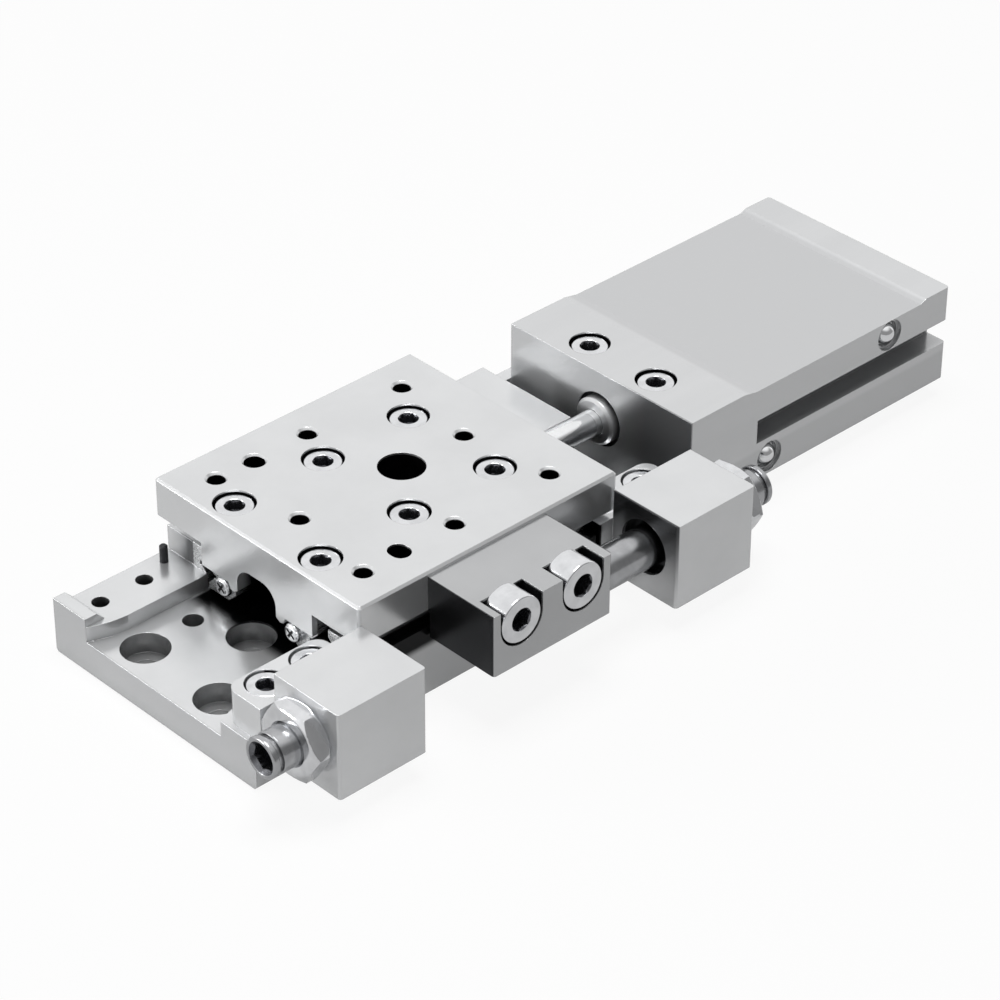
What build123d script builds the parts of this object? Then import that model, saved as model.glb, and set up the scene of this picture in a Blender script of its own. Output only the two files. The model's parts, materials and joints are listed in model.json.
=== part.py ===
from build123d import *
import os

os.makedirs("parts", exist_ok=True)

# Pneumatic slide cylinder: a low table on crossed-roller rails, driven by a
# short cylinder behind it, with an adjustable stop at each end of the stroke.
# Millimetres. +X points from the table to the cylinder, +Z is up, and the
# adjusters are on the -Y side, called near; +Y is called far.
# The origin is on the mounting face, midway between the two front mounting holes.
# The model is drawn retracted; the table extends towards -X.

# Travel
stroke = 10.0

# Table
table_x = 13.2
table_len = 47.0
table_w = 42.0
table_t = 6.0
table_top = 20.0
table_edge = 0.35
table_corner = 0.5
rib_in = 4.0
rib_t = 1.5
rib_bottom = 9.3
arch_r = 2.8
lip_t = 1.0
lip_bottom = 10.4

# Base rail
base_front = -5.0
base_w = 42.0
floor_t = 5.0
low_wall_h = 7.4
front_lip_h = 1.3
front_lip_len = 2.0
lead_in_len = 6.0
lead_in_w = 1.6
wall_h = 11.3
channel_w = 25.0
wall_setback = 1.8
deck_gap = 1.3
deck_len = 13.0
rod_slot = 2.6
tongue_t = 3.0
tongue_w = 36.0
tongue_len = 14.2
cheek_len = 5.9
cheek_h = 8.9
cheek_t = 2.1
stop_pin_x = 12.6
stop_pin_in = 2.0
stop_pin_r = 0.6
stop_pin_h = 2.7
stop_pin_depth = 3.0

# Crossed-roller guide
roller_d = 3.0
roller_play = 0.05
groove_z = 8.6
rail_gap = 1.2
outer_rail_t = 3.0
inner_rail_w = 5.7
inner_rail_bottom = 6.2
inner_rail_len = 38.0
inner_rail_chamfer = 1.5
outer_rail_len = 40.2
roller_pitch = 4.4
roller_count = 6
cage_t = 0.6
cage_h = 6.2
cage_lead = 5.4
groove_relief = 0.6
preload_x = (1.9, 19.4, 37.4)
screw_inset = 0.3
fixing_x = (15.0, 27.0)
end_screw_in = 1.6
end_screw_z = 8.8

# Screws: thread radius, head radius and head height
m25 = (1.25, 2.25, 2.5)
m3 = (1.5, 2.75, 3.0)
m4 = (2.0, 3.5, 4.0)
thread_gap = 0.03
head_gap = 0.3
tap_m3 = 1.25
tap_m5 = 2.1

# Hole places on the table, measured from its front end and centre line
rail_screw_x = 4.0
rail_screw_pitch = 15.8
tap_x = 6.0
tap_pitch = 34.0
tap_mid = 16.4
tap_row = 30.0
tap_depth = 5.0
centre_tap_x = 8.0
centre_tap_pitch = 30.0
access_x = 26.4
access_d = 6.8
pin_x = 12.6
pin_row = 29.6
pin_d = 3.0
pin_slot = 3.5

# Mounting holes in the floor of the base rail
mount_row = 15.3
mount_hole = 3.4
mount_cbore = 7.0
mount_cbore_depth = 3.2
centre_mount_x = 12.1
centre_mount_pitch = 27.5
dowel_x = 8.7
dowel_row = 16.4
dowel_d = 3.0

# Adjuster brackets
bracket_x = -1.6
bracket_len = 15.0
bracket_pitch = 61.0
bracket_out = 12.6
bracket_gap = 0.2
bracket_bottom = 3.8
bracket_top = 17.3
flange_lead = 2.5
flange_len = 16.0
flange_w = 6.8
flange_top = 12.8
flange_screw_x = 1.8
flange_screw_pitch = 7.6
flange_screw_in = 3.6
flange_grip = 5.0
bolt_out = 6.2
bolt_z = 11.0
bolt_r = 3.0
bolt_recess_r = 4.2
bolt_recess = 1.6
nut_af = 10.0
nut_t = 3.2
bolt_tail = 4.4
tip_t = 1.0
tip_r = 2.3
stop_gap = 0.05

# Stopper block on the near side of the table
stopper_x = 12.0
stopper_len = 21.5
stopper_out = 12.7
stopper_bottom = 9.7
stopper_drop = 0.7
stopper_relief = 0.3
stopper_screw_x = 5.0
stopper_screw_pitch = 11.2
stopper_screw_z = 16.6
stopper_thread = 6.0

# Cylinder
cyl_gap = 3.1
cyl_len = 54.5
cyl_w = 36.6
cyl_h = 15.7
bore_d = 8.0
rod_d = 4.0
rod_play = 0.05
piston_play = 0.05
cover_start = 1.5
cover_len = 13.4
nose_out = 1.2
nose_d = 7.4
mouth_d = 8.6
ring_t = 0.7
ring_w = 0.55
bumper_t = 1.2
piston_len = 14.0
piston_end_gap = 1.2
front_end_gap = 0.9
pad_len = 13.3
rear_pad_len = 6.3
pad_step = 0.5
pad_ramp = 2.6
rear_pad_ramp = 1.2
groove_h = 3.9
groove_depth = 3.6
groove_z_low = 9.2
groove_start = 13.7
body_screw_x = 4.6
body_screw_row = 13.4
port_depth = 6.0
plug_in = 4.6
plug_dome = 0.5
plug_seat_w = 0.4
plug_seat_depth = 0.6
port_low_z = 5.9
port_high_z = 15.7
passage_r = 0.7

# Rod bracket under the rear end of the table
rod_bracket_len = 7.2
rod_bracket_w = 18.0
rod_bracket_bottom = 7.6
rod_bracket_row = 12.4
rod_bracket_grip = 3.5
bush_r = 2.9
bush_len = 3.2
slot_gap = 0.2

# Derived places
table_bottom = table_top - table_t
table_rear = table_x + table_len
step_x = table_x + wall_setback
deck_x = table_rear + deck_gap
wall_end = deck_x + deck_len
cyl_x = wall_end + cyl_gap
cyl_rear = cyl_x + cyl_len
axis_z = tongue_t + cyl_h / 2
cyl_top = tongue_t + cyl_h
half_channel = channel_w / 2
groove_y = half_channel - rail_gap / 2
inner_face = half_channel - rail_gap
near_side = -base_w / 2
flange_screw_y = base_w / 2 - flange_screw_in
bolt_y = near_side - bolt_out
inner_rail_x = table_x + lip_t
flange_x = bracket_x - flange_lead
pocket_x = flange_x + bracket_pitch - 0.5
rail_screws = [table_x + rail_screw_x + i * rail_screw_pitch for i in range(3)]
rail_screw_y = inner_face - 2.5
stopper_front = table_x + stopper_x
stopper_rear = stopper_front + stopper_len
stopper_top = table_top - stopper_drop
stopper_screws_x = [stopper_front + stopper_screw_x + i * stopper_screw_pitch for i in range(2)]
bracket_fronts = [bracket_x, bracket_x + bracket_pitch]
flange_screws_x = [flange_x + lead + flange_lead + flange_screw_x + i * flange_screw_pitch
                   for lead in (0.0, bracket_pitch) for i in range(2)]
bore_r = bore_d / 2
rod_r = rod_d / 2
cover_x = cyl_x + cover_start
cover_end = cover_x + cover_len
front_chamber = cover_end + bumper_t
piston_x = front_chamber + front_end_gap + stroke
piston_end = piston_x + piston_len
head_x = piston_end + piston_end_gap + bumper_t
ports = [(front_chamber + front_end_gap / 2, port_low_z, port_low_z + 1.3),
         (piston_end + piston_end_gap / 2, port_high_z, port_high_z - 1.3)]
body_screws_x = cyl_x + body_screw_x


def hex_socket(radius):
    """Across-flats size of the hexagon socket in a screw of this thread radius."""
    return {m25[0]: 2.0, m3[0]: 2.5, m4[0]: 3.0}[radius]


def circles(plane, spots, radius):
    """Sketch of equal circles at these spots of the plane."""
    with BuildSketch(plane) as sketch:
        with Locations(*spots):
            Circle(radius)
    return sketch.sketch


def hexagons(plane, spots, across_flats):
    """Sketch of equal hexagons at these spots of the plane."""
    with BuildSketch(plane) as sketch:
        with Locations(*spots):
            RegularPolygon(across_flats / 2, 6, major_radius=False)
    return sketch.sketch


def socket_screws(plane, spots, size, grip):
    """Socket head screws: shank into the plane by grip, head standing on it."""
    thread, head, height = size
    extrude(circles(plane, spots, head), amount=height)
    extrude(circles(plane, spots, thread - thread_gap), amount=-grip)
    top = plane.offset(height)
    extrude(hexagons(top, spots, hex_socket(thread)), amount=-height * 0.55, mode=Mode.SUBTRACT)


def half_section(points):
    """Closed half section about the cylinder axis, from (X, radius) pairs."""
    with BuildSketch(Plane.XZ) as section:
        with BuildLine():
            Polyline(*[(x, axis_z + r) for x, r in points], close=True)
        make_face()
    return section.sketch


# Base rail: a channel with low front walls, full walls along the guide, a rear
# deck on the far side and a thin tongue under the front of the cylinder
with BuildPart() as base_rail:
    with BuildSketch(Plane.YZ.offset(base_front)):
        with BuildLine():
            Polyline((-base_w / 2, 0), (base_w / 2, 0), (base_w / 2, low_wall_h),
                     (half_channel, low_wall_h), (half_channel, floor_t), (-half_channel, floor_t),
                     (-half_channel, low_wall_h), (-base_w / 2, low_wall_h), close=True)
        make_face()
    extrude(amount=wall_end - base_front)
    with BuildSketch(Plane.XY.offset(floor_t)):
        for y, end in ((1, wall_end), (-1, pocket_x)):
            with BuildLine():
                Polyline((step_x, y * half_channel), (end, y * half_channel),
                         (end, y * base_w / 2), (step_x, y * base_w / 2), close=True)
            make_face()
        with BuildLine():
            Polyline((deck_x, rod_slot), (wall_end, rod_slot), (wall_end, half_channel),
                     (deck_x, half_channel), close=True)
        make_face()
    extrude(amount=wall_h - floor_t)
    with BuildSketch(Plane.XY):
        with Locations((wall_end, 0)):
            Rectangle(tongue_len, tongue_w, align=(Align.MIN, Align.CENTER))
    extrude(amount=tongue_t)
    with BuildSketch(Plane.XY):
        for y in (-1, 1):
            with Locations((wall_end + cheek_len / 2, y * (base_w - cheek_t) / 2)):
                Rectangle(cheek_len, cheek_t)
    extrude(amount=cheek_h)
    # Seats of the two hardened outer rails
    with BuildSketch(Plane.XY.offset(floor_t)):
        for y in (-1, 1):
            with Locations((step_x + outer_rail_len / 2, y * (half_channel + outer_rail_t / 2))):
                Rectangle(outer_rail_len, outer_rail_t)
    extrude(amount=wall_h - floor_t, mode=Mode.SUBTRACT)
    # Lead-in at the front end of the channel
    with BuildSketch(Plane.XY.offset(floor_t)):
        for y in (-1, 1):
            with BuildLine():
                Line((base_front + lead_in_len, y * half_channel), (base_front, y * half_channel))
                Line((base_front, y * half_channel), (base_front, y * (half_channel + lead_in_w)))
                ThreePointArc((base_front, y * (half_channel + lead_in_w)),
                              (base_front + lead_in_len / 2, y * (half_channel + lead_in_w * 0.3)),
                              (base_front + lead_in_len, y * half_channel))
            make_face()
    extrude(amount=low_wall_h - floor_t, mode=Mode.SUBTRACT)
    # Raised lip at the front end of the far low wall
    with BuildSketch(Plane.XZ.offset(-base_w / 2)):
        with BuildLine():
            Polyline((base_front, low_wall_h), (base_front, low_wall_h + front_lip_h),
                     (base_front + front_lip_len, low_wall_h + front_lip_h),
                     (base_front + front_lip_len + front_lip_h, low_wall_h), close=True)
        make_face()
    extrude(amount=base_w / 2 - half_channel - lead_in_w)
    # Holes of the two pins that the flanges of the front brackets rest against
    with Locations(*[(stop_pin_x, y * (base_w / 2 - stop_pin_in), low_wall_h) for y in (-1, 1)]):
        Hole(stop_pin_r + 0.02, depth=stop_pin_depth)
    # Mounting holes, counterbored from the floor
    with Locations((0, -mount_row / 2, floor_t), (0, mount_row / 2, floor_t),
                   (centre_mount_x, 0, floor_t),
                   (centre_mount_x + centre_mount_pitch, 0, floor_t)):
        CounterBoreHole(mount_hole / 2, mount_cbore / 2, mount_cbore_depth)
    with Locations((dowel_x, -dowel_row / 2, floor_t), (dowel_x, dowel_row / 2, floor_t)):
        Hole(dowel_d / 2)
    # Free tapped holes for a bracket on the far side, and those under the brackets
    with Locations(*[(x, flange_screw_y, low_wall_h) for x in flange_screws_x[:2]]):
        Hole(tap_m3, depth=flange_grip + 0.5)
    with Locations(*[(x, -flange_screw_y, low_wall_h) for x in flange_screws_x]):
        Hole(m3[0], depth=flange_grip + 0.5)
    with Locations(*[(body_screws_x, y * body_screw_row / 2, tongue_t) for y in (-1, 1)]):
        Hole(m3[0])
    # Screw holes to the outer rails: preload on the far side, fixing on the near side
    with BuildSketch(Plane.XZ.offset(-base_w / 2)):
        with Locations(*[(step_x + x, groove_z) for x in preload_x]):
            Circle(m3[0])
    extrude(amount=base_w / 2 - half_channel - outer_rail_t, mode=Mode.SUBTRACT)
    with BuildSketch(Plane.XZ.offset(base_w / 2)):
        with Locations(*[(step_x + x, groove_z) for x in fixing_x]):
            Circle(m3[0])
    extrude(amount=-(base_w / 2 - half_channel - outer_rail_t), mode=Mode.SUBTRACT)
    for edge_end in (0, -1):
        chamfer(base_rail.edges().group_by(Axis.Z)[0].filter_by(Axis.X).sort_by(Axis.Y)[edge_end], 0.4)
base_rail.part.label = "base_rail"
export_step(base_rail.part, "parts/base_rail.step")

with BuildPart() as stop_pins:
    with BuildSketch(Plane.XY.offset(low_wall_h - stop_pin_depth)):
        with Locations(*[(stop_pin_x, y * (base_w / 2 - stop_pin_in)) for y in (-1, 1)]):
            Circle(stop_pin_r)
    extrude(amount=stop_pin_depth + stop_pin_h)
    chamfer(stop_pins.edges().group_by(Axis.Z)[-1], 0.2)
stop_pins.part.label = "stop_pins"
export_step(stop_pins.part, "parts/stop_pins.step")

# Crossed-roller guide: on each side an outer rail in the base, an inner rail
# under the table, and rollers in a cage between their V grooves
flank = roller_d / 2 * 2 ** 0.5
opening = flank - rail_gap / 2
side_names = (("near", -1), ("far", 1))
for side, sign in side_names:
    with BuildPart() as outer_rail:
        back = half_channel + outer_rail_t
        relief = groove_relief / 2
        with BuildSketch(Plane.YZ.offset(step_x)):
            with BuildLine():
                Polyline((sign * back, floor_t), (sign * back, wall_h), (sign * half_channel, wall_h),
                         (sign * half_channel, groove_z + opening),
                         (sign * (groove_y + flank - relief), groove_z + relief),
                         (sign * (groove_y + flank + 0.1), groove_z + relief),
                         (sign * (groove_y + flank + 0.1), groove_z - relief),
                         (sign * (groove_y + flank - relief), groove_z - relief),
                         (sign * half_channel, groove_z - opening),
                         (sign * half_channel, floor_t), close=True)
            make_face()
        extrude(amount=outer_rail_len)
    outer_rail.part.label = f"outer_rail_{side}"
    export_step(outer_rail.part, f"parts/outer_rail_{side}.step")

    with BuildPart() as inner_rail:
        foot = inner_face - inner_rail_w
        with BuildSketch(Plane.YZ.offset(inner_rail_x)):
            with BuildLine():
                Polyline((sign * foot, table_bottom), (sign * inner_face, table_bottom),
                         (sign * inner_face, groove_z + opening),
                         (sign * (groove_y - flank + relief), groove_z + relief),
                         (sign * (groove_y - flank - 0.1), groove_z + relief),
                         (sign * (groove_y - flank - 0.1), groove_z - relief),
                         (sign * (groove_y - flank + relief), groove_z - relief),
                         (sign * inner_face, groove_z - opening),
                         (sign * inner_face, inner_rail_bottom),
                         (sign * (foot + inner_rail_chamfer), inner_rail_bottom),
                         (sign * foot, inner_rail_bottom + inner_rail_chamfer), close=True)
            make_face()
        extrude(amount=inner_rail_len)
        with BuildSketch(Plane.YZ.offset(inner_rail_x)):
            with Locations((sign * (foot + end_screw_in), end_screw_z)):
                Circle(1.0)
        extrude(amount=4.0, mode=Mode.SUBTRACT)
        with Locations(*[(x, sign * rail_screw_y, table_bottom) for x in rail_screws]):
            Hole(m3[0], depth=3.4)
    inner_rail.part.label = f"inner_rail_{side}"
    export_step(inner_rail.part, f"parts/inner_rail_{side}.step")

    cage_len = (roller_count - 1) * roller_pitch + roller_d + 1.6
    first_roller = step_x + cage_lead + 0.8 + roller_d / 2
    roller_places = [first_roller + i * roller_pitch for i in range(roller_count)]
    with BuildPart() as cage:
        with BuildSketch(Plane.XZ.offset(-sign * groove_y + cage_t / 2)):
            with Locations((step_x + cage_lead + cage_len / 2, groove_z)):
                Rectangle(cage_len, cage_h)
            with Locations(*[(x, groove_z) for x in roller_places]):
                Rectangle(roller_d + 0.2, cage_h - 1.2, mode=Mode.SUBTRACT)
        extrude(amount=-cage_t)
    cage.part.label = f"roller_cage_{side}"
    export_step(cage.part, f"parts/roller_cage_{side}.step")

    with BuildPart() as rollers:
        for index, x in enumerate(roller_places):
            lean = 1 if index % 2 else -1
            roller_plane = Plane(origin=(x, sign * groove_y, groove_z), x_dir=(1, 0, 0),
                                 z_dir=(0, lean, 1))
            with BuildSketch(roller_plane):
                Circle(roller_d / 2 - roller_play)
            extrude(amount=roller_d / 2 - 2 * roller_play, both=True)
    rollers.part.label = f"rollers_{side}"
    export_step(rollers.part, f"parts/rollers_{side}.step")

with BuildPart() as preload_screws:
    with BuildSketch(Plane.XZ.offset(-base_w / 2 + screw_inset)):
        with Locations(*[(step_x + x, groove_z) for x in preload_x]):
            Circle(m3[0] - thread_gap)
    extrude(amount=base_w / 2 - screw_inset - half_channel - outer_rail_t)
    with BuildSketch(Plane.XZ.offset(-base_w / 2 + screw_inset)):
        with Locations(*[(step_x + x, groove_z) for x in preload_x]):
            RegularPolygon(0.75, 6, major_radius=False)
    extrude(amount=1.5, mode=Mode.SUBTRACT)
preload_screws.part.label = "preload_screws"
export_step(preload_screws.part, "parts/preload_screws.step")

with BuildPart() as rail_fixing_screws:
    with BuildSketch(Plane.XZ.offset(base_w / 2 - screw_inset)):
        with Locations(*[(step_x + x, groove_z) for x in fixing_x]):
            Circle(m3[0] - thread_gap)
    extrude(amount=-(base_w / 2 - screw_inset - half_channel - outer_rail_t))
    with BuildSketch(Plane.XZ.offset(base_w / 2 - screw_inset)):
        with Locations(*[(step_x + x, groove_z) for x in fixing_x]):
            RegularPolygon(0.75, 6, major_radius=False)
    extrude(amount=-1.5, mode=Mode.SUBTRACT)
rail_fixing_screws.part.label = "rail_fixing_screws"
export_step(rail_fixing_screws.part, "parts/rail_fixing_screws.step")

# Washers and round-headed screws on the front ends of the inner rails
end_spots = [(sign * (inner_face - inner_rail_w + end_screw_in), end_screw_z) for sign in (-1, 1)]
with BuildPart() as end_washers:
    end_plane = Plane.YZ.offset(inner_rail_x)
    extrude(circles(end_plane, end_spots, 1.5), amount=-0.4)
    extrude(circles(end_plane, end_spots, 1.02), amount=-0.4, mode=Mode.SUBTRACT)
end_washers.part.label = "end_washers"
export_step(end_washers.part, "parts/end_washers.step")

with BuildPart() as end_screws:
    head_plane = Plane.YZ.offset(inner_rail_x - 0.4)
    extrude(circles(head_plane, end_spots, 1.45), amount=-0.9)
    fillet(end_screws.edges().group_by(Axis.X)[0], 0.5)
    extrude(circles(head_plane, end_spots, 0.97), amount=4.0)
    with BuildSketch(Plane.YZ.offset(inner_rail_x - 1.3)):
        with Locations(*end_spots):
            Rectangle(1.8, 0.4, rotation=35)
            Rectangle(0.4, 1.8, rotation=35)
    extrude(amount=0.5, mode=Mode.SUBTRACT)
end_screws.part.label = "end_screws"
export_step(end_screws.part, "parts/end_screws.step")

# Table plate with its counterbored rail screws, tapped holes and pin holes
with BuildPart() as table:
    with BuildSketch(Plane.XY.offset(table_bottom)):
        with Locations((table_x, 0)):
            Rectangle(table_len, table_w, align=(Align.MIN, Align.CENTER))
    extrude(amount=table_t)
    fillet(table.edges().filter_by(Axis.Z), table_corner)
    chamfer(table.edges().group_by(Axis.Z)[-1].filter_by(Axis.X), table_edge)
    # Locating ribs between the inner rails, with an arch between them
    for sign in (-1, 1):
        with BuildSketch(Plane.YZ.offset(table_x)):
            with BuildLine():
                Polyline((sign * (rib_in - arch_r), table_bottom), (sign * (rib_in + rib_t), table_bottom),
                         (sign * (rib_in + rib_t), rib_bottom + 0.2), (sign * (rib_in + 0.8), rib_bottom),
                         (sign * rib_in, rib_bottom + 0.5), (sign * rib_in, table_bottom - arch_r))
                ThreePointArc((sign * rib_in, table_bottom - arch_r),
                              (sign * (rib_in - arch_r * 0.293), table_bottom - arch_r * 0.293),
                              (sign * (rib_in - arch_r), table_bottom))
            make_face()
        extrude(amount=inner_rail_len + lip_t)
        # Lip over the front ends of the inner rails
        with BuildSketch(Plane.YZ.offset(table_x)):
            with BuildLine():
                Polyline((sign * (rib_in + 0.5), table_bottom), (sign * (inner_face + 0.1), table_bottom),
                         (sign * (inner_face + 0.1), lip_bottom), (sign * (rib_in + rib_t + 0.4), lip_bottom),
                         (sign * (rib_in + rib_t - 0.1), rib_bottom + 0.2),
                         (sign * (rib_in + 0.5), rib_bottom + 0.3), close=True)
            make_face()
        extrude(amount=lip_t)
    with Locations(*[(x, y * rail_screw_y, table_top) for x in rail_screws for y in (-1, 1)]):
        CounterBoreHole(m3[0] + 0.2, m3[1] + head_gap, m3[2] + 0.4)
    tap_columns = (tap_x, tap_x + tap_mid, tap_x + tap_pitch)
    tap_spots = [(table_x + x, y * tap_row / 2, table_top) for x in tap_columns for y in (-1, 1)]
    tap_spots += [(table_x + centre_tap_x, 0, table_top),
                  (table_x + centre_tap_x + centre_tap_pitch, 0, table_top)]
    with Locations(*tap_spots):
        CounterSinkHole(tap_m3, tap_m3 + 0.35, tap_depth, 90)
    with Locations((table_x + access_x, 0, table_top)):
        Hole(access_d / 2)
    with Locations((table_x + pin_x, pin_row / 2, table_top)):
        CounterSinkHole(pin_d / 2, pin_d / 2 + 0.3, tap_depth - 1, 90)
    with BuildSketch(Plane.XY.offset(table_top)):
        with Locations((table_x + pin_x, -pin_row / 2)):
            SlotOverall(pin_slot, pin_d, rotation=90)
    extrude(amount=-(tap_depth - 1), mode=Mode.SUBTRACT)
    # Tapped holes of the stopper block in the near side
    with BuildSketch(Plane.XZ.offset(table_w / 2)):
        with Locations(*[(x, stopper_screw_z) for x in stopper_screws_x]):
            Circle(m4[0])
    extrude(amount=-(stopper_thread + 0.5), mode=Mode.SUBTRACT)
    # Tapped holes of the rod bracket in the underside
    with BuildSketch(Plane.XY.offset(table_bottom)):
        with Locations(*[(table_rear - 0.4 - rod_bracket_len / 2, y * rod_bracket_row / 2)
                         for y in (-1, 1)]):
            Circle(m25[0])
    extrude(amount=rod_bracket_grip + 0.5, mode=Mode.SUBTRACT)
table.part.label = "table"
export_step(table.part, "parts/table.step")

with BuildPart() as table_screws:
    seat = table_top - m3[2] - 0.4
    socket_screws(Plane.XY.offset(seat), [(x, y * rail_screw_y) for x in rail_screws for y in (-1, 1)],
                  m3, seat - table_bottom + 3.2)
table_screws.part.label = "table_screws"
export_step(table_screws.part, "parts/table_screws.step")

# Stopper block: carried by the table, it strikes one adjuster at each end
with BuildPart() as stopper_block:
    with BuildSketch(Plane.XZ.offset(table_w / 2)):
        with BuildLine():
            Polyline((stopper_front, stopper_bottom), (stopper_rear, stopper_bottom),
                     (stopper_rear, stopper_top), (stopper_front, stopper_top), close=True)
        make_face()
    extrude(amount=stopper_out)
    fillet(stopper_block.edges().filter_by(Axis.Z).group_by(Axis.Y)[0], 0.5)
    with BuildSketch(Plane.XY.offset(stopper_bottom)):
        with Locations((stopper_front, near_side - stopper_relief)):
            Rectangle(stopper_len, base_w / 2, align=(Align.MIN, Align.MIN))
    extrude(amount=table_bottom - stopper_bottom, mode=Mode.SUBTRACT)
    with BuildSketch(Plane.XZ.offset(table_w / 2)):
        with Locations(*[(x, stopper_screw_z) for x in stopper_screws_x]):
            Circle(m4[0] + 0.2)
    extrude(amount=stopper_out, mode=Mode.SUBTRACT)
    with BuildSketch(Plane.XZ.offset(table_w / 2 + stopper_out)):
        with Locations(*[(x, stopper_screw_z) for x in stopper_screws_x]):
            Circle(m4[1] + head_gap)
        with Locations(*[(x, stopper_screw_z + 2) for x in stopper_screws_x]):
            Rectangle(2 * (m4[1] + head_gap), 4)
    extrude(amount=-m4[2], mode=Mode.SUBTRACT)
stopper_block.part.label = "stopper_block"
export_step(stopper_block.part, "parts/stopper_block.step")

with BuildPart() as stopper_screws:
    socket_screws(Plane.XZ.offset(table_w / 2 + stopper_out - m4[2]),
                  [(x, stopper_screw_z) for x in stopper_screws_x], m4,
                  stopper_out - m4[2] + stopper_thread)
stopper_screws.part.label = "stopper_screws"
export_step(stopper_screws.part, "parts/stopper_screws.step")

# Adjuster brackets: a flange on the low wall and a tapped block outside it
for side, front in (("front", bracket_fronts[0]), ("rear", bracket_fronts[1])):
    flange_start = front - flange_lead
    with BuildPart() as bracket:
        with BuildSketch(Plane.XY.offset(low_wall_h)):
            with Locations((flange_start, near_side - bracket_gap)):
                Rectangle(flange_len, flange_w + bracket_gap, align=(Align.MIN, Align.MIN))
        extrude(amount=flange_top - low_wall_h)
        fillet(bracket.edges().filter_by(Axis.Z).group_by(Axis.Y)[-1], 2.0)
        with BuildSketch(Plane.XZ.offset(-near_side + bracket_gap)):
            with BuildLine():
                Polyline((front, bracket_bottom), (front + bracket_len, bracket_bottom),
                         (front + bracket_len, bracket_top), (front, bracket_top), close=True)
            make_face()
        extrude(amount=bracket_out - bracket_gap)
        fillet(bracket.edges().filter_by(Axis.Z).group_by(Axis.Y)[0], 0.5)
        with Locations(*[(front + flange_screw_x + i * flange_screw_pitch, -flange_screw_y, flange_top)
                         for i in range(2)]):
            CounterBoreHole(m3[0] + 0.2, m3[1] + 0.2, m3[2] + 0.2)
        with BuildSketch(Plane.YZ.offset(front)):
            with Locations((bolt_y, bolt_z)):
                Circle(bolt_r + thread_gap)
        extrude(amount=bracket_len, mode=Mode.SUBTRACT)
        with BuildSketch(Plane.YZ.offset(front)):
            with Locations((bolt_y, bolt_z)):
                Circle(bolt_recess_r)
        extrude(amount=bolt_recess, mode=Mode.SUBTRACT)
    bracket.part.label = f"{side}_bracket"
    export_step(bracket.part, f"parts/{side}_bracket.step")

    # Lock nut on the outer face of the block
    nut_x = front - nut_t if side == "front" else front + bracket_len
    with BuildPart() as lock_nut:
        with BuildSketch(Plane.YZ.offset(nut_x)):
            with Locations((bolt_y, bolt_z)):
                RegularPolygon(nut_af / 2, 6, major_radius=False, rotation=30)
                Circle(bolt_r + thread_gap, mode=Mode.SUBTRACT)
        extrude(amount=nut_t)
        # Both ends are turned to a cone that cuts the six corners
        for end_x, inward in ((nut_x, 1), (nut_x + nut_t, -1)):
            with BuildSketch(Plane.XY.offset(bolt_z)):
                with BuildLine():
                    Polyline((end_x, bolt_y + nut_af * 0.48), (end_x, bolt_y + nut_af * 0.62),
                             (end_x + inward * nut_af * 0.08, bolt_y + nut_af * 0.62), close=True)
                make_face()
            revolve(axis=Axis((0, bolt_y, bolt_z), (1, 0, 0)), mode=Mode.SUBTRACT)
    lock_nut.part.label = f"lock_nut_{side}"
    export_step(lock_nut.part, f"parts/lock_nut_{side}.step")

    # Adjuster bolt, its inner end carrying a resilient tip that meets the stopper block
    if side == "front":
        outer_end = nut_x - bolt_tail
        tip_end = stopper_front - stroke - stop_gap
        inward = 1
    else:
        outer_end = nut_x + nut_t + bolt_tail
        tip_end = stopper_rear + stop_gap
        inward = -1
    with BuildPart() as bolt:
        with BuildSketch(Plane.XY.offset(bolt_z)):
            with BuildLine():
                Polyline((outer_end, bolt_y), (outer_end, bolt_y + bolt_r - 0.3),
                         (outer_end + inward * 0.3, bolt_y + bolt_r),
                         (outer_end + inward * 0.8, bolt_y + bolt_r),
                         (outer_end + inward * 0.8, bolt_y + bolt_r - 0.45),
                         (outer_end + inward * 1.6, bolt_y + bolt_r - 0.45),
                         (outer_end + inward * 1.6, bolt_y + bolt_r),
                         (tip_end - inward * (tip_t + 0.5), bolt_y + bolt_r),
                         (tip_end - inward * tip_t, bolt_y + bolt_r - 0.5),
                         (tip_end - inward * tip_t, bolt_y), close=True)
            make_face()
        revolve(axis=Axis((0, bolt_y, bolt_z), (1, 0, 0)))
        with BuildSketch(Plane.YZ.offset(outer_end)):
            with Locations((bolt_y, bolt_z)):
                RegularPolygon(1.75, 6, major_radius=False)
        extrude(amount=inward * 3.0, mode=Mode.SUBTRACT)
    bolt.part.label = f"adjuster_bolt_{side}"
    export_step(bolt.part, f"parts/adjuster_bolt_{side}.step")

    with BuildPart() as tip:
        with BuildSketch(Plane.YZ.offset(tip_end)):
            with Locations((bolt_y, bolt_z)):
                Circle(tip_r)
        extrude(amount=-inward * tip_t)
    tip.part.label = f"bumper_tip_{side}"
    export_step(tip.part, f"parts/bumper_tip_{side}.step")

with BuildPart() as bracket_screws:
    seat = flange_top - m3[2] - 0.2
    socket_screws(Plane.XY.offset(seat), [(x, -flange_screw_y) for x in flange_screws_x], m3,
                  seat - low_wall_h + flange_grip)
bracket_screws.part.label = "bracket_screws"
export_step(bracket_screws.part, "parts/bracket_screws.step")

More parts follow.
